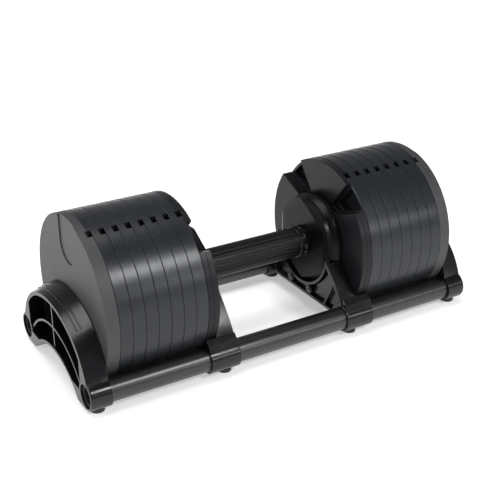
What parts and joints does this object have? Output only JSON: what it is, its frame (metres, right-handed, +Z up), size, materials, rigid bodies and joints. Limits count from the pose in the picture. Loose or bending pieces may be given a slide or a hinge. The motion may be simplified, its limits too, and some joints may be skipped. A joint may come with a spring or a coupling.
{
  "type": "adjustable dumbbell",
  "caption": "Adjustable dumbbell with round plates keyed together by dovetails, a twist grip that drives selector rods, and a tubular cradle that holds unused plates.",
  "frame": {"origin": "centre of the footprint on the floor", "axes": "+X along the grip and the rails, +Y from the front rail to the rear rail, +Z up"},
  "size_m": [0.444, 0.1832, 0.162],
  "materials": {
    "plate_steel": "satin",
    "end_plate": "satin",
    "hub_steel": "satin",
    "moulding": "gloss",
    "dial_plastic": "gloss",
    "grip_metal": "satin",
    "bare_steel": "brushed",
    "rod_steel": "polished",
    "nut_brass": "machined",
    "bearing_plastic": "matte",
    "screw_steel": "black oxide",
    "rail_paint": "gloss",
    "plug_plastic": "matte",
    "foot_rubber": "matte"
  },
  "bodies": {
    "cradle": {"rail_front": "rail_paint", "rail_rear": "rail_paint", "rail_plugs": "plug_plastic", "collar_screws": "screw_steel", "saddle_screws": "screw_steel", "rubber_feet": "foot_rubber", "outer_bracket_left": "moulding", "outer_bracket_right": "moulding", "inner_saddle_left": "moulding", "inner_saddle_right": "moulding"},
    "handle": {"carrier_disc_left": "hub_steel", "carrier_disc_right": "hub_steel", "cheek_plate_left": "hub_steel", "cheek_plate_right": "hub_steel", "hub_cover_left": "moulding", "hub_cover_right": "moulding", "hub_housing_left": "moulding", "hub_housing_right": "moulding", "rod_bush_left": "bare_steel", "rod_bush_right": "bare_steel", "bearing_left": "bearing_plastic", "bearing_right": "bearing_plastic", "carrier_screws": "screw_steel", "cover_screws": "screw_steel", "click_spring": "bare_steel"},
    "grip": {"grip_sleeve": "grip_metal", "core_tube": "bare_steel", "detent_ring": "nut_brass", "retaining_rings": "screw_steel", "lead_nut_left": "nut_brass", "lead_nut_right": "nut_brass", "dial_left": "dial_plastic", "dial_right": "dial_plastic"},
    "rod_left": {"selector_rod_left": "rod_steel"},
    "rod_right": {"selector_rod_right": "rod_steel"},
    "plate_left_1": {"plate_left_1": "plate_steel"},
    "plate_left_2": {"plate_left_2": "plate_steel"},
    "plate_left_3": {"plate_left_3": "plate_steel"},
    "plate_left_4": {"plate_left_4": "plate_steel"},
    "plate_left_5": {"plate_left_5": "plate_steel"},
    "plate_left_6": {"plate_left_6": "plate_steel"},
    "plate_left_7": {"plate_left_7": "plate_steel"},
    "plate_left_8": {"plate_left_8": "end_plate"},
    "plate_right_1": {"plate_right_1": "plate_steel"},
    "plate_right_2": {"plate_right_2": "plate_steel"},
    "plate_right_3": {"plate_right_3": "plate_steel"},
    "plate_right_4": {"plate_right_4": "plate_steel"},
    "plate_right_5": {"plate_right_5": "plate_steel"},
    "plate_right_6": {"plate_right_6": "plate_steel"},
    "plate_right_7": {"plate_right_7": "plate_steel"},
    "plate_right_8": {"plate_right_8": "end_plate"}
  },
  "joints": [
    {"name": "lift_left_8", "type": "slide", "parent": "cradle", "child": "plate_left_8", "axis": [0, 0, 1], "range_m": [0, 0.11]},
    {"name": "lift_left_7", "type": "slide", "parent": "plate_left_8", "child": "plate_left_7", "axis": [0, 0, 1], "range_m": [0, 0.11]},
    {"name": "lift_left_6", "type": "slide", "parent": "plate_left_7", "child": "plate_left_6", "axis": [0, 0, 1], "range_m": [0, 0.11]},
    {"name": "lift_left_5", "type": "slide", "parent": "plate_left_6", "child": "plate_left_5", "axis": [0, 0, 1], "range_m": [0, 0.11]},
    {"name": "lift_left_4", "type": "slide", "parent": "plate_left_5", "child": "plate_left_4", "axis": [0, 0, 1], "range_m": [0, 0.11]},
    {"name": "lift_left_3", "type": "slide", "parent": "plate_left_4", "child": "plate_left_3", "axis": [0, 0, 1], "range_m": [0, 0.11]},
    {"name": "lift_left_2", "type": "slide", "parent": "plate_left_3", "child": "plate_left_2", "axis": [0, 0, 1], "range_m": [0, 0.11]},
    {"name": "lift_left_1", "type": "slide", "parent": "plate_left_2", "child": "plate_left_1", "axis": [0, 0, 1], "range_m": [0, 0.11]},
    {"name": "lift_handle", "type": "slide", "parent": "plate_left_1", "child": "handle", "axis": [0, 0, 1], "range_m": [0, 0.11]},
    {"name": "lift_right_8", "type": "slide", "parent": "cradle", "child": "plate_right_8", "axis": [0, 0, 1], "range_m": [0, 0.11]},
    {"name": "lift_right_7", "type": "slide", "parent": "plate_right_8", "child": "plate_right_7", "axis": [0, 0, 1], "range_m": [0, 0.11]},
    {"name": "lift_right_6", "type": "slide", "parent": "plate_right_7", "child": "plate_right_6", "axis": [0, 0, 1], "range_m": [0, 0.11]},
    {"name": "lift_right_5", "type": "slide", "parent": "plate_right_6", "child": "plate_right_5", "axis": [0, 0, 1], "range_m": [0, 0.11]},
    {"name": "lift_right_4", "type": "slide", "parent": "plate_right_5", "child": "plate_right_4", "axis": [0, 0, 1], "range_m": [0, 0.11]},
    {"name": "lift_right_3", "type": "slide", "parent": "plate_right_4", "child": "plate_right_3", "axis": [0, 0, 1], "range_m": [0, 0.11]},
    {"name": "lift_right_2", "type": "slide", "parent": "plate_right_3", "child": "plate_right_2", "axis": [0, 0, 1], "range_m": [0, 0.11]},
    {"name": "lift_right_1", "type": "slide", "parent": "plate_right_2", "child": "plate_right_1", "axis": [0, 0, 1], "range_m": [0, 0.11]},
    {"name": "grip_twist", "type": "hinge", "parent": "handle", "child": "grip", "pos_m": [0, 0, 0.077], "axis": [1, 0, 0], "range_deg": [0, 336]},
    {"name": "rod_slide_left", "type": "slide", "parent": "handle", "child": "rod_left", "axis": [-1, 0, 0], "range_m": [0, 0.105]},
    {"name": "rod_slide_right", "type": "slide", "parent": "handle", "child": "rod_right", "axis": [1, 0, 0], "range_m": [0, 0.105]}
  ],
  "couplings": [
    {"joint": "lift_right_8", "follows": "lift_left_8", "ratio": 1},
    {"joint": "lift_right_7", "follows": "lift_left_7", "ratio": 1},
    {"joint": "lift_right_6", "follows": "lift_left_6", "ratio": 1},
    {"joint": "lift_right_5", "follows": "lift_left_5", "ratio": 1},
    {"joint": "lift_right_4", "follows": "lift_left_4", "ratio": 1},
    {"joint": "lift_right_3", "follows": "lift_left_3", "ratio": 1},
    {"joint": "lift_right_2", "follows": "lift_left_2", "ratio": 1},
    {"joint": "lift_right_1", "follows": "lift_left_1", "ratio": 1},
    {"joint": "rod_slide_left", "follows": "grip_twist", "m_per_rad": 0.017734},
    {"joint": "rod_slide_right", "follows": "grip_twist", "m_per_rad": 0.017734}
  ]
}
